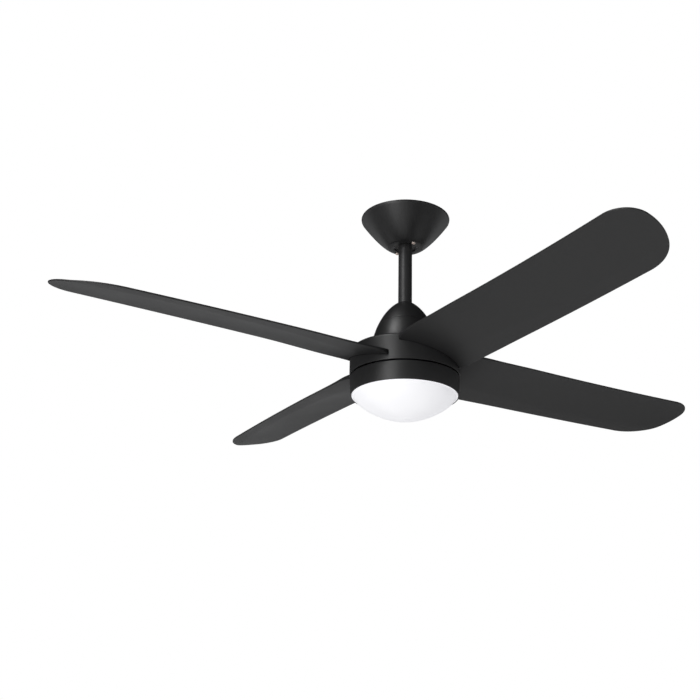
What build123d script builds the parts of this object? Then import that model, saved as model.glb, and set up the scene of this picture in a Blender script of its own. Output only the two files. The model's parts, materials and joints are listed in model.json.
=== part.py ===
from build123d import *
import math
import os

# Ceiling fan with light. Millimetres, +Z up. The origin is the centre of the ceiling face, and the
# fan hangs below it. Blade 1 points along +X. In a blade's own frame X runs out along the blade and
# +Y is its low, trailing side, so the fan turns clockwise seen from above.

# ---- driving dimensions -----------------------------------------------------------------------
fan_diameter = 1320.0           # blade tip to blade tip
blade_drop = 295.0              # ceiling to the blades' reference height
blade_count = 4

running_gap = 0.3               # between bodies that move past each other
slip_fit = 0.05                 # a pin or tube that slides into its hole
tang_clearance = 0.6            # around each blade tang in the drum's slot
small_screw_radius = 1.6        # the thread-forming screws that hold covers, drum and light
small_screw_clearance = 0.2

# canopy and hanger
canopy_height = 59.8
canopy_top_radius = 86.2        # where the flare would meet the ceiling if its edge weren't rounded
canopy_foot_radius = 31.9
canopy_flare_power = 0.765
canopy_edge_round = 4.2
canopy_wall = 1.6
canopy_hole_radius = 21.7
canopy_screw_offset = 28.0
canopy_screw_radius = 1.9
canopy_screw_clearance = 0.4
canopy_screw_head_radius = 3.6
canopy_screw_head_height = 2.4
canopy_slot_angle = 12.5        # how far the canopy turns, in degrees, to lift off its screws

bracket_sheet = 2.5
bracket_length = 128.0
bracket_width = 44.0
bracket_leg_width = 30.0
bracket_leg_top = 41.5          # inner face of a leg, from the axis
ceiling_slot_spacing = 106.0
ceiling_slot_length = 12.0
ceiling_slot_width = 6.0
cable_hole_radius = 11.0

ball_radius = 28.0
ball_seat_radius = 22.5
ball_bottom_depth = 19.0        # flat underside, below the ball's centre
ball_top_height = 9.0           # flat top, above the ball's centre
ball_key_width = 6.0
ball_key_reach = 19.6           # tip of the bracket's key, from the axis
ball_key_floor = 15.5           # bottom of the ball's key slot, from the axis

receiver_length = 72.0
receiver_width = 34.0
receiver_height = 14.0
terminal_length = 20.0
terminal_width = 30.0
terminal_height = 13.0

# rod and yoke
rod_diameter = 25.7
rod_wall = 1.8
rod_above_ball = 2.8
cross_pin_radius = 3.0
yoke_radius = 20.0
yoke_flange_reach = 10.0        # beyond the yoke's barrel
yoke_flange_thickness = 4.0
yoke_bottom = 36.0              # above the blades' reference height, as are the heights that follow
yoke_top = 92.0
yoke_socket_floor = 58.0
clevis_pin_height = 74.0
clevis_pin_radius = 3.9
set_screw_height = 84.0
set_screw_radius = 2.5

# bell-shaped cover over the yoke
cover_radius = 61.8
cover_base = 26.0
cover_height = 98.6             # to the tip that the bell's curve would reach with no rod
cover_power = 1.7
cover_split = 76.0
cover_wall = 2.0
cover_seam = 0.5
cover_shelf_thickness = 2.5
cover_lip_height = 5.0

# shaft, bearings and motor
shaft_radius = 7.5
shaft_bore_radius = 5.0
shaft_thread_radius = 6.0
bearing_outer_radius = 17.5
bearing_width = 11.0
bearing_offset = 14.5           # each bearing's middle, above and below the reference height
bearing_ball_radius = 2.9
bearing_ball_count = 8
stator_radius = 49.2
stator_height = 15.0
stator_hub_radius = 24.0
stator_teeth = 12
tooth_width = 6.0
tooth_shoe_depth = 2.6
winding_thickness = 4.0
air_gap = 0.8
magnet_count = 14
magnet_thickness = 4.0
magnet_height = 18.0
rotor_can_wall = 4.0
bell_disc_thickness = 4.5
lower_bell_thickness = 3.5
boss_wall = 3.5
bell_screw_count = 6
bell_screw_radius = 1.2

# rotating drum
drum_radius = 100.9
drum_top = 24.5
drum_bottom = -25.3
drum_wall = 2.4
drum_shoulder_round = 5.0
drum_screw_circle = 45.0
pad_drum_gap = 6.5              # blade pads to the drum's inside
pad_can_gap = 1.0               # blade pads to the rotor can

# blades
blade_tip_thickness = 3.2
blade_root_thickness = 9.5
blade_root_taper = 30.0         # how far out the thick root fades
blade_lead_width = 70.4         # leading edge, from the blade's centre line, at the tip corner
blade_lead_waist = 67.3         # and at its narrowest
blade_lead_neck = 71.6          # and where it starts to curve in towards the root
blade_lead_neck_out = 150.0     # and how far out that is
blade_lead_root = 64.0          # and where it meets the drum
blade_trail_neck = 73.3         # trailing edge where it starts to curve in towards the root
blade_trail_neck_out = 104.0    # and how far out that is
blade_trail_root = 65.5         # and where it meets the drum
blade_trail_belly = 73.8        # and a third of the way out
blade_trail_tip = 66.8          # and where the swept tip begins
tip_corner_length = 47.4        # the tip is two quarter ellipses: the leading one along the blade
tip_corner_width = 40.0         # and across it
tip_sweep_length = 102.3        # and the swept one along the blade
lead_slope = 0.112               # fall of the section per mm of chord at the leading edge
crease_slope = 0.344             # and just ahead of the crease
flap_slope = 0.184               # and behind it
crease_height = -5.2
crease_offset = 43.8            # furthest the crease stands behind the centre line
crease_middle = 405.0           # and how far out that is
crease_bow_radius = 1500.0
crease_softness = 5.0
blade_dihedral = 0.0075         # rise per mm of span
blade_upsweep = 0.000046        # upward bow along the span
blade_twist = 0.000044          # extra pitch per mm of span
root_height = -0.9
root_slope = 0.208
root_dish = 0.00055
root_blend_start = 95.0
root_blend_end = 255.0
tang_width = 84.0
tang_thickness = 3.8
tang_overlap = 3.0              # how far the tang runs on inside the blade
blade_screw_radius = 2.4
blade_screw_head_radius = 4.4
blade_screw_head_height = 2.6
blade_screw_length = 9.0
blade_screw_inset = 10.0        # outer pair, in from the pad's outside
blade_screw_rim = 5.7           # outer pair's axes, in from the pad's round rim
blade_screw_clearance = 0.2

# light
light_gap = 3.0                 # seam between the drum and the light housing
light_height = 33.9
light_step = 0.6                # drum's radius to the light housing's, at its top
light_taper = 2.1               # and how much narrower the housing is at its foot
light_wall = 1.6
light_web_thickness = 2.5
light_plate_thickness = 2.5
light_plate_drop = 2.7          # plate's top, below the drum
nut_height = 6.0
led_board_drop = 22.0           # board's underside, below the web
led_board_margin = 14.2         # board's rim, in from the housing's foot
led_board_thickness = 1.5
led_rings = ((8, 54.0), (14, 29.0), (20, 8.0))      # chips in a ring, and how far in from the rim
driver_width = 40.0
driver_height = 13.0
standoff_inset = 18.0           # board's posts, in from its rim
lens_inset = 4.1                # lens, in from the housing's foot
lens_depth = 44.3
lens_round_power = 1.64
lens_side_power = 0.75
lens_wall = 2.2
lens_rim_thickness = 2.0
bayonet_count = 3
bayonet_angle = 14.0
bayonet_thickness = 1.5
bayonet_seat_gap = 0.1
bayonet_lug_gap = 1.5           # lugs' ends to the rim's radius
bayonet_collar_inset = 8.0      # lens's inner collar, in from the housing's foot

# ---- places that follow from them -------------------------------------------------------------
tip_radius = fan_diameter / 2
rod_radius = rod_diameter / 2
plane_z = -blade_drop
yoke_flange_radius = yoke_radius + yoke_flange_reach
yoke_flange_screw_circle = yoke_flange_radius - yoke_flange_reach / 2
canopy_foot_z = -canopy_height
bracket_floor_z = canopy_foot_z + canopy_wall + running_gap
ball_z = bracket_floor_z + bracket_sheet + math.sqrt(ball_radius ** 2 - ball_seat_radius ** 2)
bracket_floor_radius = canopy_foot_radius + 0.6
leg_foot = bracket_floor_radius - bracket_sheet
rod_top_z = ball_z + ball_top_height + rod_above_ball
receiver_z = -bracket_sheet - 5.5 - receiver_height / 2

drum_top_z = plane_z + drum_top
drum_bottom_z = plane_z + drum_bottom
drum_inner_radius = drum_radius - drum_wall
pad_outer_radius = drum_inner_radius - pad_drum_gap
bell_top_z = drum_top_z - drum_wall
bell_bottom_z = bell_top_z - bell_disc_thickness
rotor_can_inner = stator_radius + air_gap + magnet_thickness
rotor_can_outer = rotor_can_inner + rotor_can_wall
lower_bell_top_z = plane_z - bearing_offset - bearing_width / 2 + 1.0
lower_bell_bottom_z = lower_bell_top_z - lower_bell_thickness
boss_radius = bearing_outer_radius + boss_wall
bearing_lip_radius = bearing_outer_radius - 3.5
bell_screw_circle = rotor_can_inner + rotor_can_wall / 2
pad_inner_radius = rotor_can_outer + pad_can_gap
tang_inner_radius = pad_inner_radius + 0.5

light_top_radius = drum_radius - light_step
light_foot_radius = light_top_radius - light_taper
lens_radius = light_foot_radius - lens_inset
bayonet_collar_radius = light_foot_radius - bayonet_collar_inset
led_board_radius = light_foot_radius - led_board_margin
standoff_circle = led_board_radius - standoff_inset
light_plate_radius = standoff_circle + 4.0
plate_screw_circle = light_plate_radius - 10.0
driver_start = 18.0
driver_length = standoff_circle - 26.0
light_top_z = drum_bottom_z - light_gap
light_foot_z = light_top_z - light_height
plate_top_z = drum_bottom_z - light_plate_drop
web_top_z = plate_top_z - light_plate_thickness
web_bottom_z = web_top_z - light_web_thickness
led_board_z = web_bottom_z - led_board_drop
lens_rim_radius = light_foot_radius - light_wall - running_gap
tab_bottom_z = light_foot_z + lens_rim_thickness + 2.5


# ---- shared shapes ----------------------------------------------------------------------------
def tube(outer, inner, low, high):
    """A plain ring or, with an inner radius of 0, a disc."""
    height = high - low
    body = Cylinder(outer, height)
    if inner > 0:
        body -= Cylinder(inner, height)
    return Pos(0, 0, (low + high) / 2) * body


def rod_along(axis, radius, start, end, height=0.0):
    """A round bar along X or Y from start to end at the given height."""
    bar = Cylinder(radius, end - start)
    middle = (start + end) / 2
    if axis == "X":
        return Pos(middle, 0, height) * Rot(0, 90, 0) * bar
    return Pos(0, middle, height) * Rot(90, 0, 0) * bar


def turned(points):
    """A solid of revolution whose outline is a smooth curve through the points, closed to the axis."""
    curve = Spline(*[(r, 0, z) for r, z in points])
    (first_r, first_z), (last_r, last_z) = points[0], points[-1]
    rest = Polyline((last_r, 0, last_z), (0, 0, last_z), (0, 0, first_z), (first_r, 0, first_z))
    return revolve(make_face(curve + rest), Axis.Z)


def around(shape, count, start=0.0):
    """Copies of a shape, evenly spaced about the Z axis, as separate solids."""
    step = 360.0 / count
    return [Rot(0, 0, start + step * i) * shape for i in range(count)]


def arc_block(inner, outer, low, high, angle):
    """Part of a ring, centred on +X, with the given angle in degrees."""
    half = math.radians(angle / 2)
    reach = outer * 2
    wedge_outline = Polyline(
        (0, 0),
        (reach, -reach * math.tan(half)),
        (reach, reach * math.tan(half)),
        (0, 0),
    )
    wedge = Pos(0, 0, low) * extrude(make_face(wedge_outline), high - low)
    return tube(outer, inner, low, high) & wedge


def screw(shank, length, head, head_height):
    """A pan-head screw. Its head's underside is at the origin and its shank points up."""
    head_body = Pos(0, 0, -head_height / 2) * Cylinder(head, head_height)
    head_body = fillet(head_body.edges().group_by(Axis.Z)[0], head_height * 0.45)
    recess = Pos(0, 0, -head_height) * Box(head * 1.1, head * 0.24, head_height * 0.8)
    cross = Rot(0, 0, 90) * recess
    return head_body + Pos(0, 0, length / 2) * Cylinder(shank, length) - recess - cross


def small_thread(length):
    """The hole that a small screw cuts its thread in."""
    return Cylinder(small_screw_radius + slip_fit, length)


def small_hole(length):
    """The hole that a small screw passes through."""
    return Cylinder(small_screw_radius + small_screw_clearance, length)


def bell_thread(length):
    """The hole for a screw that joins the rotor's can and lower bell."""
    return Cylinder(bell_screw_radius + slip_fit, length)


# ---- canopy and hanger ------------------------------------------------------------------------
def canopy_radius(height, inset=0.0):
    """The canopy's radius at a height above its foot."""
    flare = canopy_top_radius - canopy_foot_radius
    return canopy_foot_radius - inset + flare * (max(height, 0.0) / canopy_height) ** canopy_flare_power


def canopy_solid(inset, floor):
    """The canopy's outer body, or with an inset the hollow inside it."""
    steps = 9
    straight = canopy_height - canopy_edge_round
    points = []
    for i in range(steps + 1):
        height = floor + (straight - floor) * (i / steps) ** 1.5
        points.append((canopy_radius(height, inset), canopy_foot_z + height))
    wide = points[-1][0]
    points.append((wide + 0.16 * canopy_edge_round, canopy_foot_z + straight + canopy_edge_round / 2))
    points.append((wide + 0.05 * canopy_edge_round, 0.0))
    return turned(points)


def canopy_slot():
    """The cut for one canopy screw: a slot that runs on round the foot."""
    half_width = canopy_screw_radius + canopy_screw_clearance
    low, high = canopy_foot_z - 1, canopy_foot_z + canopy_wall + 1
    end = Pos(canopy_screw_offset, 0, 0) * tube(half_width, 0, low, high)
    inner, outer = canopy_screw_offset - half_width, canopy_screw_offset + half_width
    run = Rot(0, 0, -canopy_slot_angle / 2) * arc_block(inner, outer, low, high, canopy_slot_angle)
    return end + run + Rot(0, 0, -canopy_slot_angle) * end


def canopy():
    shell = canopy_solid(0.0, 0.0) - canopy_solid(canopy_wall, canopy_wall)
    shell -= tube(canopy_hole_radius, 0, canopy_foot_z - 1, canopy_foot_z + canopy_wall + 1)
    return shell - canopy_slot() - Rot(0, 0, 180) * canopy_slot()


def canopy_screws():
    length = canopy_wall + running_gap + bracket_sheet + 1.2
    one = screw(canopy_screw_radius, length, canopy_screw_head_radius, canopy_screw_head_height)
    return [Pos(side * canopy_screw_offset, 0, canopy_foot_z) * one for side in (-1, 1)]


def leg_inner_face(z):
    """How far a leg's inner face stands from the axis at a height."""
    share = (z + bracket_sheet / 2) / (bracket_floor_z + bracket_sheet / 2)
    return bracket_leg_top + (leg_foot - bracket_leg_top) * share


def bracket_leg(side):
    outline = Polyline(
        (side * bracket_leg_top, -bracket_sheet / 2),
        (side * (bracket_leg_top + bracket_sheet), -bracket_sheet / 2),
        (side * (leg_foot + bracket_sheet), bracket_floor_z),
        (side * leg_foot, bracket_floor_z),
        (side * bracket_leg_top, -bracket_sheet / 2),
    )
    flat = Rot(90, 0, 0) * make_face(outline)
    return extrude(flat, bracket_leg_width / 2, both=True)


def hanger_bracket():
    plate = Pos(0, 0, -bracket_sheet / 2) * Box(bracket_length, bracket_width, bracket_sheet)
    plate = fillet(plate.edges().filter_by(Axis.Z), 6.0)
    plate -= Pos(0, 0, -bracket_sheet / 2) * Cylinder(cable_hole_radius, 2 * bracket_sheet)
    for side in (-1, 1):
        slot = extrude(SlotOverall(ceiling_slot_length, ceiling_slot_width), 3 * bracket_sheet)
        plate -= Pos(side * ceiling_slot_spacing / 2, 0, -2 * bracket_sheet) * slot
    floor = tube(bracket_floor_radius, 0, bracket_floor_z, bracket_floor_z + bracket_sheet)
    legs = bracket_leg(-1) + bracket_leg(1)
    legs &= canopy_solid(canopy_wall + 2 * running_gap, canopy_wall + running_gap)
    body = plate + floor + legs
    seat = Pos(0, 0, ball_z) * Sphere(ball_radius + running_gap / 3)
    body -= seat + tube(ball_seat_radius - 1.5, 0, bracket_floor_z - 1, ball_z)
    key_length = ball_seat_radius + 1.0 - ball_key_reach
    key = Box(key_length, ball_key_width - 2 * running_gap, bracket_sheet)
    body += Pos(ball_key_reach + key_length / 2, 0, bracket_floor_z + bracket_sheet / 2) * key
    for side in (-1, 1):
        thread = Cylinder(canopy_screw_radius + slip_fit, 3 * bracket_sheet)
        body -= Pos(side * canopy_screw_offset, 0, bracket_floor_z) * thread
    return body


def receiver():
    case = Box(receiver_length, receiver_width, receiver_height)
    case = fillet(case.edges().filter_by(Axis.Z), 3.0)
    case = fillet(case.edges().group_by(Axis.Z)[0], 1.5)
    tab_reach = leg_inner_face(receiver_z + receiver_height / 2 - 2.0) - running_gap
    tabs = Pos(0, 0, receiver_height / 2 - 1) * Box(2 * tab_reach, 12, 2)
    return Pos(0, 0, receiver_z) * (case + tabs)


def terminal_block():
    block = Box(terminal_length, terminal_width, terminal_height)
    for row in (-1, 0, 1):
        way = Pos(0, row * terminal_width * 0.3, 1.0)
        block -= way * Rot(0, 90, 0) * Cylinder(1.8, terminal_length * 2)
        block -= way * Pos(terminal_length * 0.25, 0, -terminal_height / 2) * Cylinder(2.2, terminal_height)
    place = bracket_leg_top + bracket_sheet + terminal_length / 2 + 1.0
    return Pos(-place, 0, -bracket_sheet - terminal_height / 2) * block


def hanger_ball():
    ball = Pos(0, 0, ball_z) * Sphere(ball_radius)
    ball &= tube(ball_radius + 1, 0, ball_z - ball_bottom_depth, ball_z + ball_top_height)
    ball -= tube(rod_radius + slip_fit, 0, ball_z - ball_radius, ball_z + ball_radius)
    key_depth = ball_radius
    slot = Box(key_depth, ball_key_width, 3 * ball_radius)
    ball -= Pos(ball_key_floor + key_depth / 2, 0, ball_z) * slot
    ball -= rod_along("Y", cross_pin_radius + slip_fit, -ball_radius, ball_radius, ball_z)
    ball -= rod_along("X", set_screw_radius + slip_fit, -ball_radius, -rod_radius, ball_z)
    return ball


def ball_cross_pin():
    half = math.sqrt(ball_radius ** 2 - cross_pin_radius ** 2) - 2.0
    return rod_along("Y", cross_pin_radius, -half, half, ball_z)


def ball_set_screw():
    tip = -rod_radius - slip_fit
    body = rod_along("X", set_screw_radius, tip - 11.0, tip, ball_z)
    return body - rod_along("X", set_screw_radius * 0.55, tip - 12.0, tip - 7.0, ball_z)


def downrod():
    bottom = plane_z + yoke_socket_floor + slip_fit
    body = tube(rod_radius, rod_radius - rod_wall, bottom, rod_top_z)
    body -= rod_along("Y", cross_pin_radius + slip_fit, -rod_radius * 2, rod_radius * 2, ball_z)
    pin_z = plane_z + clevis_pin_height
    body -= rod_along("Y", clevis_pin_radius + slip_fit, -rod_radius * 2, rod_radius * 2, pin_z)
    return body


# ---- yoke and bell cover ----------------------------------------------------------------------
def yoke():
    base = plane_z + yoke_bottom
    body = tube(yoke_radius, 0, base, plane_z + yoke_top)
    body += tube(yoke_flange_radius, 0, base, base + yoke_flange_thickness)
    body -= tube(rod_radius + slip_fit, 0, plane_z + yoke_socket_floor, plane_z + yoke_top + 1)
    body -= tube(shaft_radius + slip_fit, 0, base - 1, plane_z + yoke_socket_floor - 6.0)
    body -= tube(shaft_bore_radius, 0, base, plane_z + yoke_socket_floor + 1)
    pin_hole = clevis_pin_radius + slip_fit
    body -= rod_along("Y", pin_hole, -yoke_radius * 2, yoke_radius * 2, plane_z + clevis_pin_height)
    for side in (-1, 1):
        hole = rod_along("X", set_screw_radius + slip_fit, rod_radius, yoke_radius + 2, 0)
        body -= Pos(0, 0, plane_z + set_screw_height) * Rot(0, 0, 90 - 90 * side) * hole
    hole = Pos(yoke_flange_screw_circle, 0, base) * small_thread(20)
    for place in around(hole, 3, 30):
        body -= place
    return body


def yoke_set_screws():
    tip = rod_radius + slip_fit
    one = rod_along("X", set_screw_radius, tip, tip + 9.5) - rod_along("X", 1.4, tip + 6.0, tip + 10.0)
    return [Pos(0, 0, plane_z + set_screw_height) * Rot(0, 0, turn) * one for turn in (0, 180)]


def clevis_pin():
    reach = yoke_radius + 6.0
    pin_z = plane_z + clevis_pin_height
    pin = rod_along("Y", clevis_pin_radius, -yoke_radius, reach, pin_z)
    pin += rod_along("Y", clevis_pin_radius + 2.0, -yoke_radius - 2.5, -yoke_radius, pin_z)
    return pin - Pos(0, yoke_radius + 3.0, pin_z) * Cylinder(1.0 + slip_fit, 4 * clevis_pin_radius)


def hairpin_clip():
    """A bent wire: one straight leg through the pin and one sprung leg round its end."""
    wire = 1.0
    leg = 9.0
    bow = clevis_pin_radius + wire + 0.4
    path = Polyline((0, 0, -leg), (0, 0, leg)) + ThreePointArc(
        (0, 0, leg), (bow / 2, 0, leg + bow / 2), (bow, 0, leg))
    path += Line((bow, 0, leg), (bow, 0, -leg * 0.7))
    clip = sweep(sections=Plane((0, 0, -leg), z_dir=(0, 0, 1)) * Circle(wire), path=path)
    return Pos(0, yoke_radius + 3.0, plane_z + clevis_pin_height) * clip


def cover_radius_at(height):
    """The bell cover's outer radius at a height above its base."""
    share = min(max(height / cover_height, 0.0), 1.0)
    return cover_radius * (1 - share ** cover_power) ** (1 / cover_power)


def cover_solid(low, high, inset):
    """The bell's body between two heights above the blades' reference height."""
    steps = 8
    points = []
    for i in range(steps + 1):
        height = low + (high - low) * i / steps
        points.append((cover_radius_at(height - cover_base) - inset, plane_z + height))
    return turned(points)


def lower_cover():
    top = cover_split - cover_seam
    body = cover_solid(cover_base, top, 0.0) - cover_solid(cover_base, top, cover_wall)
    shelf_low = plane_z + yoke_bottom + yoke_flange_thickness
    shelf_top = yoke_bottom + yoke_flange_thickness + cover_shelf_thickness
    shelf = cover_solid(yoke_bottom + yoke_flange_thickness, shelf_top, cover_wall / 2)
    shelf -= Pos(0, 0, shelf_low) * Cylinder(yoke_radius + 1.0, 20)
    hole = Pos(yoke_flange_screw_circle, 0, shelf_low) * small_thread(20)
    for place in around(hole, 3, 30):
        shelf -= place
    return body + shelf


def cover_screws():
    top = plane_z + yoke_bottom + yoke_flange_thickness + cover_shelf_thickness
    one = Rot(180, 0, 0) * screw(small_screw_radius, 6.0, 2.8, 1.8)
    return around(Pos(yoke_flange_screw_circle, 0, top) * one, 3, 30)


def cover_top():
    """Height at which the bell closes round the rod."""
    closing = rod_radius + 0.7
    share = (1 - (closing / cover_radius) ** cover_power) ** (1 / cover_power)
    return cover_base + cover_height * share


def cover_cap():
    top = cover_top()
    body = cover_solid(cover_split, top, 0.0) - cover_solid(cover_split, top - cover_wall, cover_wall)
    body -= tube(rod_radius + 0.5, 0, plane_z, 0)
    lip_outer = cover_radius_at(cover_split - cover_base) - cover_wall
    lip_low = plane_z + cover_split - cover_lip_height
    lip = tube(lip_outer, lip_outer - 1.4, lip_low, plane_z + cover_split + 2.0)
    return body + lip


def cover_grommet():
    """Rubber ring inside the cap that centres it on the rod."""
    top = plane_z + cover_top() - cover_wall - 4.0
    outer = cover_radius_at(cover_top() - cover_wall - 4.0 - cover_base) - cover_wall - 1.0
    return tube(outer, rod_radius + slip_fit, top - 3.0, top)


# ---- shaft, bearings and motor ----------------------------------------------------------------
def motor_shaft():
    body = tube(shaft_radius, 0, plate_top_z, plane_z + yoke_socket_floor - 6.0 - slip_fit)
    body += tube(shaft_thread_radius, 0, web_bottom_z - nut_height - 2.0, plate_top_z)
    bottom = web_bottom_z - nut_height - 3.0
    return body - tube(shaft_bore_radius, 0, bottom, plane_z + yoke_socket_floor)


def at_each_bearing():
    """Middle heights of the upper and lower bearing, with the way out of the motor for each."""
    return [(plane_z + bearing_offset, 1), (plane_z - bearing_offset, -1)]


def bearing_race_radii():
    """Inner race's outside and outer race's inside, with the groove radius between them."""
    groove = (shaft_radius + slip_fit + bearing_outer_radius) / 2
    return groove - 2.0, groove + 2.0, groove


def bearing_inner_rings():
    outside, _, groove = bearing_race_radii()
    rings = []
    for z, _ in at_each_bearing():
        ring = tube(outside, shaft_radius + slip_fit, z - bearing_width / 2, z + bearing_width / 2)
        rings.append(ring - Pos(0, 0, z) * Torus(groove, bearing_ball_radius + slip_fit))
    return rings


def bearing_outer_rings():
    _, inside, groove = bearing_race_radii()
    rings = []
    for z, _ in at_each_bearing():
        ring = tube(bearing_outer_radius - slip_fit, inside, z - bearing_width / 2, z + bearing_width / 2)
        rings.append(ring - Pos(0, 0, z) * Torus(groove, bearing_ball_radius + slip_fit))
    return rings


def bearing_balls():
    groove = bearing_race_radii()[2]
    balls = []
    for z, _ in at_each_bearing():
        balls += around(Pos(groove, 0, z) * Sphere(bearing_ball_radius), bearing_ball_count)
    return balls


def spacer_washers():
    washers = []
    for z, way in at_each_bearing():
        near = z - way * bearing_width / 2
        far = plane_z + way * stator_height / 2
        low, high = sorted((near, far))
        washers.append(tube(shaft_radius + 2.5, shaft_radius + slip_fit, low, high))
    return washers


def shaft_circlips():
    clips = []
    for z, way in at_each_bearing():
        near = z + way * bearing_width / 2
        low, high = sorted((near, near + way * 0.9))
        clip = tube(shaft_radius + 2.6, shaft_radius + slip_fit, low, high)
        clips.append(clip - Pos(shaft_radius + 2.0, 0, (low + high) / 2) * Box(8, 3, 4))
    return clips


def stator_core():
    half = stator_height / 2
    body = tube(stator_hub_radius, shaft_radius + slip_fit, plane_z - half, plane_z + half)
    shoe_inner = stator_radius - tooth_shoe_depth
    reach = shoe_inner + 1.0 - (stator_hub_radius - 1.0)
    tooth = Pos(stator_hub_radius - 1.0 + reach / 2, 0, plane_z) * Box(reach, tooth_width, stator_height)
    shoe_angle = 360.0 / stator_teeth - 4.5
    tooth += arc_block(shoe_inner, stator_radius, plane_z - half, plane_z + half, shoe_angle)
    for part in around(tooth, stator_teeth):
        body += part
    for hole in around(Pos(16.0, 0, plane_z) * Cylinder(3.2, 2 * stator_height), 6, 15):
        body -= hole
    return body


def stator_windings():
    """One coil round each tooth, narrower towards the hub so that neighbours stay apart."""
    inner = stator_hub_radius + 2.5
    outer = stator_radius - tooth_shoe_depth - 1.0
    room = math.pi / stator_teeth
    sections = []
    for radius in (inner, outer):
        half_width = min(radius * math.tan(room) - 0.5, tooth_width / 2 + winding_thickness)
        half_height = stator_height / 2 + winding_thickness * radius / outer
        face = Plane((radius, 0, plane_z), x_dir=(0, 1, 0), z_dir=(1, 0, 0))
        sections.append(face * RectangleRounded(2 * half_width, 2 * half_height, 1.5))
    coil = loft(sections)
    core = Box(4 * stator_radius, tooth_width + 0.4, stator_height + 0.4)
    coil -= Pos(stator_radius, 0, plane_z) * core
    return around(coil, stator_teeth)


def rotor_magnets():
    inner = stator_radius + air_gap
    half = magnet_height / 2
    angle = 360.0 / magnet_count - 3.0
    outer = rotor_can_inner - slip_fit
    return around(arc_block(inner, outer, plane_z - half, plane_z + half, angle), magnet_count)


def bell_screw_places(shape):
    return around(Pos(bell_screw_circle, 0, 0) * shape, bell_screw_count)


def rotor_can():
    body = tube(rotor_can_outer, rotor_can_inner, lower_bell_top_z, bell_bottom_z)
    for hole in bell_screw_places(Pos(0, 0, lower_bell_top_z) * bell_thread(18)):
        body -= hole
    return body


def lower_bell():
    body = tube(rotor_can_outer, bearing_lip_radius, lower_bell_bottom_z, lower_bell_top_z)
    boss_top = plane_z - bearing_offset + bearing_width / 2 - 0.5
    body += tube(boss_radius, bearing_lip_radius, lower_bell_bottom_z, boss_top)
    pocket_floor = plane_z - bearing_offset - bearing_width / 2
    body -= tube(bearing_outer_radius, 0, pocket_floor, boss_top + 1)
    for hole in bell_screw_places(Pos(0, 0, lower_bell_bottom_z) * bell_thread(18)):
        body -= hole
    return body


def bell_screws():
    one = screw(bell_screw_radius, lower_bell_thickness + 5.0, 2.1, 1.3)
    return bell_screw_places(Pos(0, 0, lower_bell_bottom_z) * one)


# ---- blades -----------------------------------------------------------------------------------
def smooth(share):
    """Rises smoothly from 0 to 1."""
    share = min(max(share, 0.0), 1.0)
    return share * share * (3 - 2 * share)


def blade_middle(out, across):
    """Height of a blade's middle surface, out along it and across it towards the trailing edge."""
    crease = crease_offset - (out - crease_middle) ** 2 / (2 * crease_bow_radius)
    past = across - crease
    mean_slope = (crease_slope + flap_slope) / 2
    turn = (crease_slope - flap_slope) / 2
    bend = turn * (math.sqrt(past ** 2 + crease_softness ** 2) - crease_softness)
    fade = (crease_slope - lead_slope) / (2 * (blade_lead_width + crease_offset))
    height = crease_height - mean_slope * past + bend - fade * min(past, 0.0) ** 2
    beyond = out - crease_middle
    height += blade_dihedral * (beyond + 105.0) + blade_upsweep * beyond ** 2 - blade_twist * beyond * across
    root = root_height - root_slope * across + root_dish * across ** 2
    share = smooth((out - root_blend_start) / (root_blend_end - root_blend_start))
    return root + (height - root) * share


def blade_thickness(out):
    """Thick at the root and thin along the rest."""
    beyond = out - math.sqrt(drum_radius ** 2 - blade_lead_root ** 2)
    fade = math.exp(-max(beyond, 0.0) / blade_root_taper)
    return blade_tip_thickness + (blade_root_thickness - blade_tip_thickness) * fade


def blade_section(out):
    """A blade's closed cross-section, wider than the blade on both sides."""
    reach = blade_trail_belly + 8.0
    count = 12
    places = [-reach + 2 * reach * i / count for i in range(count + 1)]
    half = blade_thickness(out) / 2
    under = Spline(*[(out, y, blade_middle(out, y) - half) for y in places])
    over = Spline(*[(out, y, blade_middle(out, y) + half) for y in places])
    return Wire([under, Line(under @ 1, over @ 1), over, Line(over @ 0, under @ 0)])


def quarter_ellipse(centre, along, across, start):
    """A quarter of an ellipse, anticlockwise from a starting angle in degrees."""
    return EllipticalCenterArc(centre, along, across, start, arc_size=90)


def blade_outline():
    """A blade seen from above: bowed edges that curve in at the root, and a rounded, swept tip."""
    corner = tip_radius - tip_corner_length
    sweep_start = tip_radius - tip_sweep_length
    tip_y = tip_corner_width - blade_lead_width
    sweep_top = blade_trail_tip
    lead = ThreePointArc(
        (blade_lead_neck_out, -blade_lead_neck),
        (350.0, -blade_lead_waist),
        (corner, -blade_lead_width),
    )
    corner_arc = quarter_ellipse((corner, tip_y), tip_corner_length, tip_corner_width, -90)
    sweep_arc = quarter_ellipse((sweep_start, tip_y), tip_sweep_length, sweep_top - tip_y, 0)
    trail = ThreePointArc(
        (sweep_start, sweep_top),
        (315.0, blade_trail_belly),
        (blade_trail_neck_out, blade_trail_neck),
    )
    lead_foot = (math.sqrt(drum_radius ** 2 - blade_lead_root ** 2), -blade_lead_root)
    trail_foot = (math.sqrt(drum_radius ** 2 - blade_trail_root ** 2), blade_trail_root)
    lead_root = TangentArc(lead @ 0, lead_foot, tangent=-(lead % 0))
    trail_root = TangentArc(trail @ 1, trail_foot, tangent=trail % 1)
    inside = drum_radius / 2
    closing = Polyline(trail_foot, (inside, blade_trail_root), (inside, -blade_lead_root), lead_foot)
    return make_face([lead_root, lead, corner_arc, sweep_arc, trail, trail_root, closing])


def tang_tilt():
    return Rot(-math.degrees(math.atan(root_slope)), 0, 0)


def blade_tang(extra, inner, outer):
    """The flat plate at a blade's root, tilted to the blade's pitch."""
    plate = Box(outer - inner, tang_width + 2 * extra, tang_thickness + 2 * extra)
    return Pos((inner + outer) / 2, 0, root_height) * tang_tilt() * plate


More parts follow.
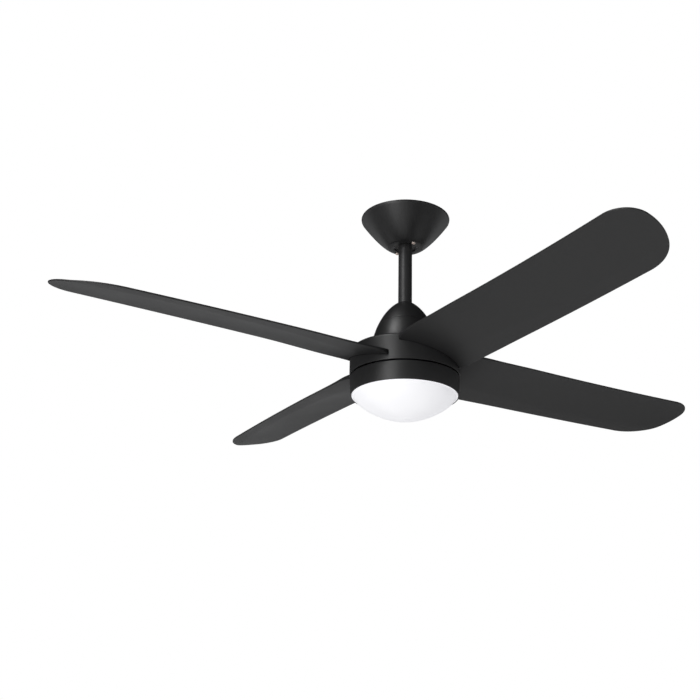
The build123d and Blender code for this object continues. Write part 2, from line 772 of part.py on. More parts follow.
def tang_screw_spots():
    """Out and across the tang, for its three screws."""
    outer = pad_outer_radius - blade_screw_inset
    aside = math.sqrt((pad_outer_radius - blade_screw_rim) ** 2 - outer ** 2)
    inner = tang_inner_radius + blade_screw_head_radius
    return [(outer, -aside), (inner, 0.0), (outer, aside)]


def on_tang(out, across, shape):
    """Places a shape, drawn with the tang's underside at z = 0, at a spot on the tang."""
    return Pos(out, 0, root_height) * tang_tilt() * Pos(0, across, -tang_thickness / 2) * shape


def blade():
    stations = [70.0, 95.0, 125.0, 155.0, 190.0, 225.0, 260.0]
    step = (tip_radius + 12.0 - stations[-1]) / 5
    stations += [stations[-1] + step * i for i in range(1, 6)]
    body = Solid.make_loft([blade_section(out) for out in stations])
    body &= Pos(0, 0, -100) * extrude(blade_outline(), 200)
    body -= tube(drum_radius + running_gap, 0, -200, 200)
    body += blade_tang(0.0, tang_inner_radius, drum_radius + tang_overlap)
    for out, across in tang_screw_spots():
        body -= on_tang(out, across, Cylinder(blade_screw_radius + blade_screw_clearance, 30))
    return body


def blades():
    one = Pos(0, 0, plane_z) * blade()
    return around(one, blade_count)


def blade_screws():
    one = screw(blade_screw_radius, blade_screw_length, blade_screw_head_radius, blade_screw_head_height)
    screws = []
    for turn in range(blade_count):
        for out, across in tang_screw_spots():
            place = Rot(0, 0, 360.0 * turn / blade_count) * Pos(0, 0, plane_z)
            screws.append(place * on_tang(out, across, one))
    return screws


def blade_pad():
    """A block under the upper bell whose slanted face takes a blade's tang."""
    middle = (pad_inner_radius + pad_outer_radius) / 2
    block = Pos(middle, 0, 0) * Box(pad_outer_radius - pad_inner_radius, tang_width - 6, 60)
    top = bell_bottom_z + 0.5 - plane_z
    block &= Pos(0, 0, top - 50) * Box(400, 400, 100)
    above = Box(400, 400, 80)
    block &= on_tang(0, 0, Pos(0, 0, tang_thickness + 40) * above)
    for out, across in tang_screw_spots():
        block -= on_tang(out, across, Cylinder(blade_screw_radius + slip_fit, 2 * (blade_screw_length + 1)))
    return block & tube(pad_outer_radius - 0.5, 0, -100, 100)


def upper_bell():
    """The rotor's top end bell, which carries the blades and the drum."""
    body = tube(pad_outer_radius, bearing_lip_radius, bell_bottom_z, bell_top_z)
    boss_bottom = plane_z + bearing_offset - bearing_width / 2 + 0.5
    body += tube(boss_radius, bearing_lip_radius, boss_bottom, bell_top_z)
    for pad in around(Pos(0, 0, plane_z) * blade_pad(), blade_count):
        body += pad
    body -= tube(bearing_outer_radius, 0, boss_bottom - 1, plane_z + bearing_offset + bearing_width / 2)
    for hole in around(Pos(drum_screw_circle, 0, bell_top_z) * small_thread(12), 4, 45):
        body -= hole
    return body


# ---- drum -------------------------------------------------------------------------------------
def drum_shell():
    outer = tube(drum_radius, 0, drum_bottom_z, drum_top_z)
    outer = fillet(outer.edges().group_by(Axis.Z)[-1], drum_shoulder_round)
    inner = tube(drum_inner_radius, 0, drum_bottom_z - 1, bell_top_z)
    inner = fillet(inner.edges().group_by(Axis.Z)[-1], drum_shoulder_round - drum_wall)
    shell = outer - inner - tube(shaft_radius + 8.0, 0, bell_top_z - 1, drum_top_z + 1)
    slot = blade_tang(tang_clearance, drum_inner_radius * 0.5, drum_radius + 10)
    for cut in around(Pos(0, 0, plane_z) * slot, blade_count):
        shell -= cut
    for hole in around(Pos(drum_screw_circle, 0, drum_top_z) * small_hole(12), 4, 45):
        shell -= hole
    return shell


def drum_screws():
    one = Rot(180, 0, 0) * screw(small_screw_radius, drum_wall + bell_disc_thickness - 0.4, 3.0, 1.2)
    return around(Pos(drum_screw_circle, 0, drum_top_z) * one, 4, 45)


# ---- light ------------------------------------------------------------------------------------
def light_plate():
    body = tube(light_plate_radius, shaft_thread_radius + slip_fit, web_top_z, plate_top_z)
    for hole in around(Pos(plate_screw_circle, 0, web_top_z) * small_thread(20), 3):
        body -= hole
    for hole in around(Pos(36.0, 0, web_top_z) * Cylinder(7.0, 20), 3, 60):
        body -= hole
    return body


def shaft_nut():
    hexagon = Pos(0, 0, web_top_z - nut_height) * extrude(RegularPolygon(10.0, 6), nut_height)
    return hexagon - tube(shaft_thread_radius + slip_fit, 0, web_top_z - 20, web_top_z + 1)


def light_wall_solid(inset, low, high):
    """The light housing's slightly tapered outside, or with an inset its inside."""
    lean = (light_top_radius - light_foot_radius) / light_height
    bottom = light_foot_radius - inset + lean * (low - light_foot_z)
    top = light_foot_radius - inset + lean * (high - light_foot_z)
    outline = Polyline((0, 0, low), (bottom, 0, low), (top, 0, high), (0, 0, high), (0, 0, low))
    return revolve(make_face(outline), Axis.Z)


def light_housing():
    wall = light_wall_solid(0, light_foot_z, light_top_z)
    wall -= light_wall_solid(light_wall, light_foot_z - 1, light_top_z + 1)
    web = light_wall_solid(light_wall / 2, web_bottom_z, web_top_z)
    web -= tube(15.0, 0, web_bottom_z - 1, web_top_z + 1)
    body = wall + web
    standoff = tube(4.0, 0, led_board_z + led_board_thickness, web_bottom_z + 0.5)
    for post in around(Pos(standoff_circle, 0, 0) * standoff, 3, 60):
        body += post
    for hole in around(Pos(standoff_circle, 0, led_board_z) * Cylinder(1.5, 20), 3, 60):
        body -= hole
    for hole in around(Pos(plate_screw_circle, 0, web_top_z) * small_hole(20), 3):
        body -= hole
    inner = bayonet_collar_radius + running_gap
    tab_top = tab_bottom_z + bayonet_thickness
    tab = arc_block(inner, lens_rim_radius + 1.2, tab_bottom_z, tab_top, bayonet_angle)
    for catch in around(tab, bayonet_count, 30):
        body += catch
    return body


def light_housing_screws():
    one = screw(small_screw_radius, light_web_thickness + light_plate_thickness + 1.0, 3.0, 1.8)
    return around(Pos(plate_screw_circle, 0, web_bottom_z) * one, 3)


def led_driver():
    case = Box(driver_length, driver_width, driver_height)
    case = fillet(case.edges().group_by(Axis.Z)[0], 1.5)
    place = Pos(-driver_start - driver_length / 2, 0, web_bottom_z - driver_height / 2)
    return place * case


def led_board():
    board = tube(led_board_radius, 8.0, led_board_z, led_board_z + led_board_thickness)
    for hole in around(Pos(standoff_circle, 0, led_board_z) * Cylinder(1.7, 10), 3, 60):
        board -= hole
    return board


def led_chips():
    chip = Box(3.5, 3.5, 1.0)
    chips = []
    for count, inset in led_rings:
        chips += around(Pos(led_board_radius - inset, 0, led_board_z - 0.5) * chip, count, 6)
    return chips


def led_board_screws():
    one = screw(1.4, 7.0, 2.8, 1.5)
    return around(Pos(standoff_circle, 0, led_board_z) * one, 3, 60)


def lens_curve(radius, depth, top):
    """The lens's bowl, from its lowest point up to its brim."""
    steps = 12
    points = []
    for i in range(1, steps + 1):
        share = math.sin(math.pi / 2 * i / steps)
        drop = depth * max(1 - share ** lens_round_power, 0.0) ** lens_side_power
        points.append((radius * share, top - drop))
    return points


def lens_bowl(radius, depth, top):
    points = lens_curve(radius, depth, top)
    curve = Spline((0, 0, top - depth), *[(r, 0, z) for r, z in points], tangents=((1, 0, 0), (0, 0, 1)))
    rest = Polyline((radius, 0, top), (0, 0, top), (0, 0, top - depth))
    return revolve(make_face(curve + rest), Axis.Z)


def opal_lens():
    rim_top = light_foot_z + lens_rim_thickness
    body = lens_bowl(lens_radius, lens_depth, light_foot_z)
    body += tube(lens_rim_radius, 0, light_foot_z, rim_top)
    body -= lens_bowl(lens_radius - lens_wall, lens_depth - lens_wall, light_foot_z)
    lug_low = tab_bottom_z + bayonet_thickness + bayonet_seat_gap
    collar_top = lug_low + bayonet_thickness
    collar_inner = bayonet_collar_radius - 1.8
    body -= tube(collar_inner, 0, light_foot_z - 0.01, collar_top)
    body += tube(bayonet_collar_radius, collar_inner, light_foot_z, collar_top)
    lug_outer = lens_rim_radius - bayonet_lug_gap
    lug = arc_block(bayonet_collar_radius - 1.0, lug_outer, lug_low, collar_top, bayonet_angle - 3)
    for one in around(lug, bayonet_count, 30):
        body += one
    return body


# ---- writing the pieces -----------------------------------------------------------------------
def write(name, shape):
    solids = shape if isinstance(shape, list) else [shape]
    loose = [solid for item in solids for solid in item.solids()]
    whole = loose[0] if len(loose) == 1 else Compound(children=loose)
    whole.label = name
    export_step(whole, os.path.join("parts", name + ".step"))


def main():
    os.makedirs("parts", exist_ok=True)
    makers = [
        hanger_bracket, terminal_block, receiver, canopy, canopy_screws,
        hanger_ball, ball_cross_pin, ball_set_screw, downrod,
        yoke, yoke_set_screws, clevis_pin, hairpin_clip, lower_cover, cover_screws,
        cover_cap, cover_grommet,
        motor_shaft, spacer_washers, shaft_circlips, bearing_inner_rings, bearing_outer_rings,
        bearing_balls, stator_core, stator_windings,
        upper_bell, rotor_can, lower_bell, rotor_magnets, bell_screws,
        drum_shell, drum_screws, blade_screws,
        light_plate, shaft_nut, light_housing, light_housing_screws,
        led_driver, led_board, led_chips, led_board_screws, opal_lens,
    ]
    for maker in makers:
        write(maker.__name__, maker())
    for number, one in enumerate(blades(), start=1):
        write(f"blade_{number}", one)


main()
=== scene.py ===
import json
import math

import bmesh
import bpy
import numpy as np
from mathutils import Matrix, Vector

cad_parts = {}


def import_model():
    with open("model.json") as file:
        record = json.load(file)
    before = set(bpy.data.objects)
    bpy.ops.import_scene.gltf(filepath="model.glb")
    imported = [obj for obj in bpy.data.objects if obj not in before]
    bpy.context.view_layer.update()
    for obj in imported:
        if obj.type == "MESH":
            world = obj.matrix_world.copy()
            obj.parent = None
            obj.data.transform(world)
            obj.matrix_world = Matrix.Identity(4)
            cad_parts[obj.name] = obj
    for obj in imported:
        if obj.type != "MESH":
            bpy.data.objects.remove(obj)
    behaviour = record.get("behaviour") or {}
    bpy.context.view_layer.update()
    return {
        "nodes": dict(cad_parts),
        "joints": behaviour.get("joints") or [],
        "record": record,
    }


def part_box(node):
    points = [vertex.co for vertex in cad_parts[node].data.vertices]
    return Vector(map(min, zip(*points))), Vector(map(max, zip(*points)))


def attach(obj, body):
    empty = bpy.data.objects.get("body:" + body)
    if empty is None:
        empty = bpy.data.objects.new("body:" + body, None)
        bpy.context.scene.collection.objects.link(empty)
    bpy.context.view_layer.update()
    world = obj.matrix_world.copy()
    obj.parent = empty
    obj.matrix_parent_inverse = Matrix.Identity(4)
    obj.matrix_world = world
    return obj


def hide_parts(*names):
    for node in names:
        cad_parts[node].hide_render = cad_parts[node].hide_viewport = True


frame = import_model()

# Everything is in metres in the CAD's frame: the origin on the ceiling, +Z up, blade 1 along +X.
MM = 0.001


def low_z(node):
    """The height of a node's lowest point."""
    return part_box(node)[0][2]


def high_z(node):
    """The height of a node's highest point."""
    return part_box(node)[1][2]


def reach(node):
    """A round node's radius."""
    low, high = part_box(node)
    return (high[0] - low[0]) / 2


tip_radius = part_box("blade_1")[1][0]
plane_z = next(j for j in frame["joints"] if j["name"] == "rotor_spin")["pos_m"][2]
drum_radius = reach("drum_shell")
rod_radius = reach("downrod")


# ---- camera -----------------------------------------------------------------------------------
def camera():
    """Stands below blade height, about two metres off, and looks up at the fan."""
    heading = math.radians(56.8)      # turned from the blades so that blade 1 points to the right, nearer
    distance = 2.1067
    drop = 0.7777
    yaw, pitch, roll = math.radians(-2.739), math.radians(20.905), math.radians(1.228)
    data = bpy.data.cameras.new("camera")
    data.sensor_width = 36.0
    data.lens = 63.13
    data.clip_end = 50.0
    obj = bpy.data.objects.new("camera", data)
    bpy.context.scene.collection.objects.link(obj)
    right = Vector((math.cos(yaw), -math.sin(yaw), 0))
    ahead = Vector((math.sin(yaw) * math.cos(pitch), math.cos(yaw) * math.cos(pitch), math.sin(pitch)))
    up = right.cross(ahead)
    x_axis = math.cos(roll) * right + math.sin(roll) * up
    y_axis = -math.sin(roll) * right + math.cos(roll) * up
    turn = Matrix.Rotation(heading, 3, "Z")
    axes = Matrix((turn @ x_axis, turn @ y_axis, turn @ -ahead)).transposed()
    place = turn @ Vector((0, -distance, 0)) + Vector((0, 0, plane_z - drop))
    obj.matrix_world = Matrix.Translation(place) @ axes.to_4x4()
    bpy.context.scene.camera = obj
    return turn


camera_turn = camera()


# ---- materials --------------------------------------------------------------------------------
NOISE_LOW, NOISE_HIGH = 0.3, 0.7          # most of a noise texture's values lie between these
WEAR_START, WEAR_FULL = 0.53, 0.62        # pointiness where an edge's wear starts, and where it is full
CORNER, OPEN = 0.5, 0.95                  # share of open sky in a deep corner, and on a free surface: the painted corner shade is full at the first and gone at the second


def new_material(name, color, roughness, metallic=0.0):
    """A material whose shader has its plain values, ready for its textures."""
    mat = bpy.data.materials.new(name)
    mat.use_nodes = True
    shader = mat.node_tree.nodes["Principled BSDF"]
    shader.inputs["Base Color"].default_value = (*color, 1)
    shader.inputs["Roughness"].default_value = roughness
    shader.inputs["Metallic"].default_value = metallic
    return mat, mat.node_tree.nodes, mat.node_tree.links, shader


def noise(nodes, links, scale, detail=3.0, roughness=0.5, stretch=None):
    """A noise texture in metres, so that its grain keeps its real size."""
    coords = nodes.new("ShaderNodeTexCoord")
    texture = nodes.new("ShaderNodeTexNoise")
    texture.inputs["Scale"].default_value = scale
    texture.inputs["Detail"].default_value = detail
    texture.inputs["Roughness"].default_value = roughness
    if stretch:
        mapping = nodes.new("ShaderNodeMapping")
        mapping.inputs["Scale"].default_value = stretch
        links.new(coords.outputs["Object"], mapping.inputs["Vector"])
        links.new(mapping.outputs["Vector"], texture.inputs["Vector"])
    else:
        links.new(coords.outputs["Object"], texture.inputs["Vector"])
    return texture.outputs["Fac"]


def spread(nodes, links, source, low, high):
    """Maps the middle of a noise's range to low..high."""
    remap = nodes.new("ShaderNodeMapRange")
    remap.inputs["From Min"].default_value = NOISE_LOW
    remap.inputs["From Max"].default_value = NOISE_HIGH
    remap.inputs["To Min"].default_value = low
    remap.inputs["To Max"].default_value = high
    links.new(source, remap.inputs["Value"])
    return remap.outputs["Result"]


def shade(nodes, links, source, dark, light):
    """A colour between dark and light, by a noise's value."""
    ramp = nodes.new("ShaderNodeValToRGB")
    ramp.color_ramp.elements[0].position = NOISE_LOW
    ramp.color_ramp.elements[1].position = NOISE_HIGH
    ramp.color_ramp.elements[0].color = (*dark, 1)
    ramp.color_ramp.elements[1].color = (*light, 1)
    links.new(source, ramp.inputs["Fac"])
    return ramp.outputs["Color"]


def bump(nodes, links, shader, source, distance):
    """Raises the surface by up to a distance in metres, by a noise's value."""
    node = nodes.new("ShaderNodeBump")
    node.inputs["Distance"].default_value = distance
    node.inputs["Strength"].default_value = 1.0
    links.new(source, node.inputs["Height"])
    links.new(node.outputs["Normal"], shader.inputs["Normal"])


def edge_wear(nodes, links, base, worn, amount):
    """Changes a colour where the surface turns sharply outward, as handling does."""
    geometry = nodes.new("ShaderNodeNewGeometry")
    remap = nodes.new("ShaderNodeMapRange")
    remap.inputs["From Min"].default_value = WEAR_START
    remap.inputs["From Max"].default_value = WEAR_FULL
    remap.inputs["To Max"].default_value = amount
    links.new(geometry.outputs["Pointiness"], remap.inputs["Value"])
    mix = nodes.new("ShaderNodeMix")
    mix.data_type = "RGBA"
    mix.inputs["B"].default_value = (*worn, 1)
    links.new(remap.outputs["Result"], mix.inputs["Factor"])
    links.new(base, mix.inputs["A"])
    return mix.outputs["Result"]


def painted_corner_shade(nodes, links, distance, inside, outside):
    """A value that falls where other surfaces stand close by: painted shade, which takes the sheen out of
    corners as a shadow would.
    """
    occlusion = nodes.new("ShaderNodeAmbientOcclusion")
    occlusion.inputs["Distance"].default_value = distance
    remap = nodes.new("ShaderNodeMapRange")
    remap.inputs["From Min"].default_value = CORNER
    remap.inputs["From Max"].default_value = OPEN
    remap.inputs["To Min"].default_value = inside
    remap.inputs["To Max"].default_value = outside
    links.new(occlusion.outputs["AO"], remap.inputs["Value"])
    return remap.outputs["Result"]


def grey(value):
    """A grey with a trace of blue."""
    return (value, value, value * 1.03)


def powder_coat():
    """Satin black paint: a fine orange peel over slightly uneven gloss."""
    mat, nodes, links, shader = new_material("black_powder_coat", grey(0.012), 0.42)
    cloud = noise(nodes, links, 38.0, 4.0)
    peel = noise(nodes, links, 1500.0, 2.0)
    base = shade(nodes, links, cloud, grey(0.0115), grey(0.0135))
    links.new(edge_wear(nodes, links, base, grey(0.03), 0.6), shader.inputs["Base Color"])
    links.new(spread(nodes, links, cloud, 0.40, 0.43), shader.inputs["Roughness"])
    bump(nodes, links, shader, peel, 0.00003)
    return mat


def blade_plastic():
    """Matt black moulded plastic with a fine spark-eroded grain and faint flow along the blade."""
    mat, nodes, links, shader = new_material("black_blade_plastic", grey(0.014), 0.52)
    flow = noise(nodes, links, 9.0, 4.0, 0.55)
    grain = noise(nodes, links, 2600.0, 3.0)
    base = shade(nodes, links, flow, grey(0.0125), grey(0.0165))
    links.new(edge_wear(nodes, links, base, grey(0.005), 0.9), shader.inputs["Base Color"])
    links.new(spread(nodes, links, flow, 0.49, 0.56), shader.inputs["Roughness"])
    # Painted shade: the blade's sheen fades out near the drum and other close surfaces, darkening the roots
    # as a shadow would.
    links.new(painted_corner_shade(nodes, links, 0.14, 0.0, 0.5), shader.inputs["Specular IOR Level"])
    bump(nodes, links, shader, grain, 0.00004)
    return mat


def opal_plastic():
    """Satin opal plastic, lit from inside: nearly even, with the faintest cloudiness."""
    mat, nodes, links, shader = new_material("opal_plastic", (0.82, 0.82, 0.83), 0.38)
    cloud = noise(nodes, links, 45.0, 3.0)
    glow = shade(nodes, links, cloud, (0.93, 0.925, 0.975), (0.955, 0.95, 1.0))
    links.new(glow, shader.inputs["Emission Color"])
    shader.inputs["Emission Strength"].default_value = 0.345
    links.new(shade(nodes, links, cloud, (0.81, 0.81, 0.82), (0.84, 0.84, 0.85)), shader.inputs["Base Color"])
    links.new(spread(nodes, links, cloud, 0.36, 0.41), shader.inputs["Roughness"])
    bump(nodes, links, shader, noise(nodes, links, 1800.0, 2.0), 0.00001)
    return mat


def metal(name, dark, light, rough, scale, depth, stretch=None, metallic=1.0):
    """A metal with its own grain: brushed, cast, ground or drawn, by scale and stretch."""
    mat, nodes, links, shader = new_material(name, light, rough, metallic)
    grain = noise(nodes, links, scale, 5.0, 0.6, stretch)
    cloud = noise(nodes, links, scale / 18.0, 3.0)
    base = shade(nodes, links, cloud, dark, light)
    worn = tuple(min(1.0, c * 1.15) for c in light)
    links.new(edge_wear(nodes, links, base, worn, 0.5), shader.inputs["Base Color"])
    links.new(spread(nodes, links, grain, rough - 0.07, rough + 0.08), shader.inputs["Roughness"])
    bump(nodes, links, shader, grain, depth)
    return mat


def plastic(name, dark, light, rough, scale=1400.0, depth=0.00003, metallic=0.0):
    """Moulded plastic, rubber or resin with a fine surface grain."""
    return metal(name, dark, light, rough, scale, depth, None, metallic)


MATERIALS = {
    "black_metal": powder_coat(),
    "black_blade": blade_plastic(),
    "opal_plastic": opal_plastic(),
    "zinc_steel": metal("zinc_plated_steel", (0.50, 0.51, 0.53), (0.62, 0.63, 0.66), 0.34, 900, 2e-5),
    "copper_plated_steel": metal("copper_plated_steel", (0.90, 0.74, 0.66), (0.97, 0.86, 0.79), 0.42, 900,
                                 1e-5),
    "cast_aluminium": metal("cast_aluminium", (0.47, 0.48, 0.50), (0.60, 0.61, 0.63), 0.5, 700, 6e-5),
    "bearing_steel": metal("bearing_steel", (0.62, 0.63, 0.65), (0.72, 0.73, 0.75), 0.14, 1600, 4e-6),
    "laminated_steel": metal("laminated_steel", (0.20, 0.21, 0.23), (0.30, 0.31, 0.33), 0.45, 60, 8e-5,
                             (1, 1, 32)),
    "copper_wire": metal("copper_wire", (0.46, 0.17, 0.07), (0.66, 0.28, 0.13), 0.32, 70, 2e-4, (1, 1, 22)),
    "magnet": plastic("sintered_magnet", (0.05, 0.05, 0.055), (0.09, 0.09, 0.1), 0.5, 900, 4e-5, 0.7),
    "white_nylon": plastic("white_nylon", (0.62, 0.62, 0.60), (0.74, 0.74, 0.72), 0.5),
    "black_plastic": plastic("black_plastic", (0.012, 0.012, 0.013), (0.02, 0.02, 0.021), 0.5),
    "black_nylon": plastic("black_nylon", (0.010, 0.010, 0.010), (0.017, 0.017, 0.017), 0.42),
    "rubber": plastic("rubber", (0.010, 0.010, 0.010), (0.018, 0.018, 0.018), 0.75, 1100, 5e-5),
    "led_board_white": plastic("white_solder_mask", (0.72, 0.72, 0.70), (0.82, 0.82, 0.80), 0.35, 800, 1e-5),
    "led_phosphor": plastic("led_phosphor", (0.80, 0.62, 0.16), (0.92, 0.76, 0.26), 0.3, 1500, 2e-5),
}
slot_of = {row["node"]: row["material_slot"] for row in frame["record"]["subparts"]}


def dress_cad_nodes():
    """Gives every CAD node the material of its slot."""
    for name, obj in frame["nodes"].items():
        obj.data.materials.clear()
        obj.data.materials.append(MATERIALS[slot_of[name]])


dress_cad_nodes()


# ---- meshes -----------------------------------------------------------------------------------
def finish_piece(obj, node, body):
    """Gives a detailed piece its CAD node's slot, material, body and place."""
    obj.data.materials.append(MATERIALS[slot_of[node]])
    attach(obj, body)
    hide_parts(node)
    return obj


def make_object(name, vertices, faces):
    """A smooth-shaded mesh with its faces turned outward."""
    mesh = bpy.data.meshes.new(name)
    mesh.from_pydata(vertices, [], faces)
    work = bmesh.new()
    work.from_mesh(mesh)
    bmesh.ops.recalc_face_normals(work, faces=work.faces)
    work.to_mesh(mesh)
    work.free()
    mesh.shade_smooth()
    obj = bpy.data.objects.new(name, mesh)
    bpy.context.scene.collection.objects.link(obj)
    return obj


def softened(corners, radius, steps=5):
    """A closed outline whose sharp corners are rounded."""
    nearly_straight, most_cut = math.radians(150), 0.45
    points = []
    count = len(corners)
    for i in range(count):
        here = Vector(corners[i])
        before = Vector(corners[i - 1]) - here
        after = Vector(corners[(i + 1) % count]) - here
        turn = before.angle(after, math.pi)
        if turn > nearly_straight:
            points.append(tuple(here))
            continue
        cut = min(radius / math.tan(turn / 2), before.length * most_cut, after.length * most_cut)
        start = here + before.normalized() * cut
        end = here + after.normalized() * cut
        for k in range(steps + 1):
            share = k / steps
            point = start * (1 - share) ** 2 + here * 2 * share * (1 - share) + end * share ** 2
            points.append(tuple(point))
    return points


def lathe(name, outline, segments=160):
    """Turns a closed outline of (radius, height) about the Z axis. No point lies on the axis."""
    count = len(outline)
    vertices = []
    for i in range(segments):
        angle = 2 * math.pi * i / segments
        cosine, sine = math.cos(angle), math.sin(angle)
        vertices += [(r * cosine, r * sine, z) for r, z in outline]
    faces = []
    for i in range(segments):
        here, there = i * count, (i + 1) % segments * count
        for k in range(count):
            nxt = (k + 1) % count
            faces.append((here + k, there + k, there + nxt, here + nxt))
    return make_object(name, vertices, faces)


def bar(name, lower, upper):
    """A closed bar between two rings of points."""
    count = len(lower)
    faces = [tuple(range(count))[::-1], tuple(range(count, 2 * count))]
    faces += [(k, (k + 1) % count, count + (k + 1) % count, count + k) for k in range(count)]
    return make_object(name, lower + upper, faces)


def cut(obj, cutter):
    """Takes the cutter out of a piece for good and throws the cutter away."""
    change = obj.modifiers.new("cut", "BOOLEAN")
    change.operation = "DIFFERENCE"
    change.solver = "EXACT"
    change.object = cutter
    seen = bpy.context.evaluated_depsgraph_get()
    seen.update()
    mesh = bpy.data.meshes.new_from_object(obj.evaluated_get(seen))
    obj.modifiers.clear()
    obj.data = mesh
    bpy.data.objects.remove(cutter)
    obj.data.set_sharp_from_angle(angle=math.radians(35))


def slot_cutter(turn, low, high):
    """The slot for one canopy screw, which runs on round the canopy's foot."""
    circle, half, sweep = 28.0 * MM, 2.3 * MM, math.radians(12.5)
    end = turn - sweep

    def on_circle(angle, radius=circle):
        return Vector((radius * math.cos(angle), radius * math.sin(angle)))

    def cap(angle, start):
        return [tuple(on_circle(angle) + on_circle(start + math.pi * i / 12, half)) for i in range(13)]

    between = [turn - sweep * i / 6 for i in range(1, 6)]
    outline = cap(turn, turn)
    outline += [tuple(on_circle(angle, circle - half)) for angle in between]
    outline += cap(end, end + math.pi)
    outline += [tuple(on_circle(angle, circle + half)) for angle in reversed(between)]
    return bar("cutter", [(x, y, low) for x, y in outline], [(x, y, high) for x, y in outline])


def canopy():
    """The flared cup against the ceiling, with the slots for its two screws in its foot."""
    foot_z, wall = low_z("canopy"), 1.6 * MM
    foot_radius, hole_radius = 31.9 * MM, 21.7 * MM
    full_height, flare, power = -foot_z, 54.3 * MM, 0.765
    straight = full_height - 4.2 * MM         # where the flare ends and the rim's narrow band starts
    rows, crowding = 39, 1.4                  # rows stand closer near the foot, where the flare bends most

    def radius(height):
        return foot_radius + flare * (max(height, 0.0) / full_height) ** power

    outside = []
    for i in range(1, rows + 1):
        height = straight * (i / rows) ** crowding
        outside.append((radius(height), foot_z + height))
    wide = outside[-1][0]
    widest = reach("canopy")
    for share in (0.35, 0.7):
        bulge = math.sin(share * math.pi / 2 / 0.7)
        outside.append((wide + (widest - wide) * bulge, foot_z + straight + 4.0 * MM * share))
    outside += [(widest - 0.25 * MM, -0.4 * MM), (widest - 0.8 * MM, 0.0)]
    inside = [(widest - wall - 0.5 * MM, 0.0)]
    for i in range(rows, 0, -1):
        height = wall + (straight - wall) * (i / rows) ** crowding
        inside.append((radius(height) - wall, foot_z + height))
    corners = [(hole_radius, foot_z), (foot_radius, foot_z)] + outside + inside
    corners.append((hole_radius, foot_z + wall))
    obj = lathe("canopy_shell", softened(corners, 0.5 * MM, 4), 192)
    for turn in (0.0, math.pi):
        cut(obj, slot_cutter(turn, foot_z - MM, foot_z + wall + MM))
    finish_piece(obj, "canopy", "mount")


BELL_RADIUS, BELL_HEIGHT, BELL_POWER = 61.8 * MM, 98.6 * MM, 1.7
bell_base = plane_z + 26.0 * MM


def bell_radius(z):
    """The bell cover's outer radius at a height."""
    share = min(max((z - bell_base) / BELL_HEIGHT, 0.0), 1.0)
    return BELL_RADIUS * (1 - share ** BELL_POWER) ** (1 / BELL_POWER)


def bell_part(name, node, body, low, high, extra):
    """A thin-walled band of the bell cover, with extra inside points at its closing end."""
    wall, steps = 2.0 * MM, 26
    rows = [low + (high - low) * i / steps for i in range(steps + 1)]
    outside = [(bell_radius(z), z) for z in rows]
    inside = [(bell_radius(z) - wall, z) for z in reversed(rows)]
    obj = lathe(name, softened(outside + extra(inside, wall), 0.45 * MM, 4), 160)
    return finish_piece(obj, node, body)


def covers():
    """The bell cover's lower half, with its shelf, and the cap that slides up the rod."""
    split = plane_z + 76.0 * MM
    low, top = low_z("lower_cover"), split - 0.5 * MM
    shelf_top = plane_z + 42.5 * MM
    shelf_low = shelf_top - 2.5 * MM
    shelf_hole = 21.0 * MM

    def with_shelf(inside, wall):
        above = [p for p in inside if p[1] > shelf_top]
        below = [p for p in inside if p[1] < shelf_low]
        ledge = [(bell_radius(shelf_top) - wall, shelf_top), (shelf_hole, shelf_top),
                 (shelf_hole, shelf_low), (bell_radius(shelf_low) - wall, shelf_low)]
        return above + ledge + below

    bell_part("bell_lower", "lower_cover", "hanger", low, top, with_shelf)
    cap_top, lip_low = high_z("cover_cap"), low_z("cover_cap")
    rod_hole, lip_wall = rod_radius + 0.5 * MM, 1.4 * MM

    def with_lip(inside, wall):
        lip = bell_radius(split) - wall
        closed = [p for p in inside if p[1] < cap_top - wall and p[0] > rod_radius + 1.2 * MM]
        hole = [(rod_hole, cap_top), (rod_hole, cap_top - wall)]
        edge = [(lip - lip_wall, split + 2.0 * MM), (lip - lip_wall, lip_low), (lip, lip_low), (lip, split)]
        return hole + closed[:-1] + edge

    bell_part("bell_cap", "cover_cap", "cover_cap", split, cap_top, with_lip)


def drum():
    """The turning drum the blades run into: a flat-topped can with a rounded shoulder."""
    top, bottom, wall = high_z("drum_shell"), low_z("drum_shell"), 2.4 * MM
    bore, turn = 15.5 * MM, 5.0 * MM

    def shoulder(outer, upper, bend, steps):
        angles = [math.pi / 2 * i / steps for i in range(steps + 1)]
        return [(outer - bend + bend * math.cos(a), upper - bend + bend * math.sin(a)) for a in angles]

    outside = [(drum_radius - wall, bottom), (drum_radius, bottom)] + shoulder(drum_radius, top, turn, 10)
    inside = shoulder(drum_radius - wall, top - wall, turn - wall, 8)[::-1]
    corners = outside + [(bore, top), (bore, top - wall)] + inside
    obj = lathe("drum_cover", softened(corners, 0.5 * MM, 4), 192)
    finish_piece(obj, "drum_shell", "rotor")


def light_ring():
    """The still ring under the drum, with the web that carries the light plate."""
    low, high = low_z("light_housing"), high_z("light_housing")
    top_radius, foot_radius, wall, bore = 100.3 * MM, 98.2 * MM, 1.6 * MM, 15.0 * MM
    web_top = low_z("light_plate")
    web_low = web_top - 2.5 * MM

    def outer(z):
        return foot_radius + (top_radius - foot_radius) * (z - low) / (high - low)

    corners = [(foot_radius - wall, low), (foot_radius, low), (top_radius, high), (top_radius - wall, high),
               (outer(web_top) - wall, web_top), (bore, web_top), (bore, web_low),
               (outer(web_low) - wall, web_low)]
    obj = lathe("light_ring", softened(corners, 0.4 * MM, 4), 192)
    finish_piece(obj, "light_housing", "hanger")


